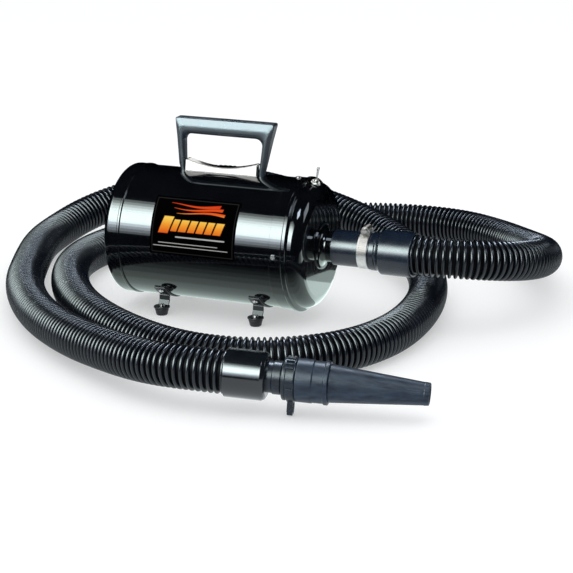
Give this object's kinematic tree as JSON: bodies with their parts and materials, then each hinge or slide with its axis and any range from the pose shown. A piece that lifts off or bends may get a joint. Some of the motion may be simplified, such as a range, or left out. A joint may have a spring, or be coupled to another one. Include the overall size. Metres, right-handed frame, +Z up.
{
  "type": "pet dryer",
  "caption": "Portable pet dryer: cylindrical steel blower on rubber feet with a carry handle and toggle switch, a long corrugated hose and a tapered rubber air nozzle.",
  "frame": {"origin": "on the floor, under the middle of the blower and its outlet joint", "axes": "+X along the blower towards its air outlet, +Z up, the badge faces -Y"},
  "size_m": [0.7643, 0.8302, 0.248],
  "materials": {
    "body_paint": "high gloss black baked enamel on steel",
    "bracket_paint": "gloss black enamel on formed steel strip",
    "badge_print": "gloss printed plate with a plain border and bars, no lettering",
    "handle_plastic": "satin moulded slate-blue plastic",
    "chrome": "polished chrome plate",
    "bright_steel": "zinc plated screws and rivets",
    "stainless": "rolled stainless strip",
    "foot_rubber": "matt black moulded rubber",
    "cuff_vinyl": "satin black vinyl cuff",
    "nozzle_cuff_gloss": "gloss black moulded vinyl",
    "hose_vinyl": "satin black corrugated vinyl",
    "connector_black": "black moulded nylon",
    "nozzle_rubber": "matt dark slate moulded rubber",
    "switch_phenolic": "black phenolic",
    "filter_foam": "open cell charcoal foam",
    "liner_foam": "grey acoustic foam",
    "gasket_rubber": "soft black rubber",
    "spun_aluminium": "spun and stamped sheet",
    "cast_aluminium": "die cast",
    "plated_steel": "zinc plated drawn steel",
    "laminated_steel": "stacked electrical steel sheets",
    "ground_steel": "ground steel",
    "copper": "enamelled copper",
    "brass": "drawn brass",
    "carbon": "pressed carbon",
    "gland_nylon": "black nylon",
    "filter_ring_plastic": "black moulded plastic"
  },
  "bodies": {
    "blower": {"housing": "body_paint", "rear_cap": "body_paint", "front_cap": "body_paint", "outlet_neck": "body_paint", "band_screws": "bright_steel", "front_badge": "badge_print", "cord_gland": "gland_nylon", "carry_handle": "handle_plastic", "handle_screws": "bright_steel", "handle_saddle": "chrome", "foot_bracket_rear": "bracket_paint", "foot_bracket_front": "bracket_paint", "bracket_rivets": "bright_steel", "rubber_foot_rear_left": "foot_rubber", "rubber_foot_rear_right": "foot_rubber", "rubber_foot_front_left": "foot_rubber", "rubber_foot_front_right": "foot_rubber", "foot_screws": "bright_steel", "switch_body": "switch_phenolic", "switch_bushing": "chrome", "switch_nut": "chrome", "dryer_end_cuff": "cuff_vinyl", "hose_clamp_band": "stainless", "hose_clamp_housing": "stainless", "inlet_filter": "filter_foam", "filter_ring": "filter_ring_plastic", "fan_gasket": "gasket_rubber", "fan_case": "spun_aluminium", "stage_diffuser": "spun_aluminium", "motor_end_bracket": "cast_aluminium", "motor_frame": "plated_steel", "stator_core": "laminated_steel", "field_coils": "copper", "fan_end_bearing": "ground_steel", "brush_end_bearing": "ground_steel", "brush_holders": "brass", "carbon_brushes": "carbon", "rubber_motor_mount": "gasket_rubber", "foam_liner": "liner_foam", "hose": "hose_vinyl", "nozzle_end_cuff": "nozzle_cuff_gloss"},
    "rotor": {"armature_core": "laminated_steel", "commutator": "copper", "motor_shaft": "ground_steel", "fan_wheel_1": "spun_aluminium", "fan_wheel_2": "spun_aluminium"},
    "switch_lever": {"switch_lever": "chrome"},
    "clamp_screw": {"hose_clamp_screw": "stainless"},
    "swivel": {"swivel_connector": "connector_black"},
    "lock_ring": {"lock_ring": "connector_black"},
    "nozzle": {"nozzle_coupler": "nozzle_rubber", "air_nozzle": "nozzle_rubber"}
  },
  "joints": [
    {"name": "rotor_spin", "type": "hinge", "parent": "blower", "child": "rotor", "pos_m": [0, 0, 0.0975], "axis": [1, 0, 0], "continuous": true},
    {"name": "switch_toggle", "type": "hinge", "parent": "blower", "child": "switch_lever", "pos_m": [0.06497, 0, 0.1796], "axis": [0, 1, 0], "range_deg": [0, 26]},
    {"name": "clamp_screw_turn", "type": "hinge", "parent": "blower", "child": "clamp_screw", "pos_m": [0.1325, 0, 0.1247], "axis": [0, -1, 0], "continuous": true},
    {"name": "nozzle_swivel", "type": "hinge", "parent": "blower", "child": "swivel", "pos_m": [0.15905, -0.3331, 0.04], "axis": [0.9793, 0.1957, -0.0523], "continuous": true},
    {"name": "lock_ring_turn", "type": "hinge", "parent": "swivel", "child": "lock_ring", "pos_m": [0.15905, -0.3331, 0.04], "axis": [-0.9793, -0.1957, 0.0523], "range_deg": [0, 60]},
    {"name": "nozzle_pull", "type": "slide", "parent": "swivel", "child": "nozzle", "axis": [0.9793, 0.1957, -0.0523], "range_m": [0, 0.045]}
  ]
}
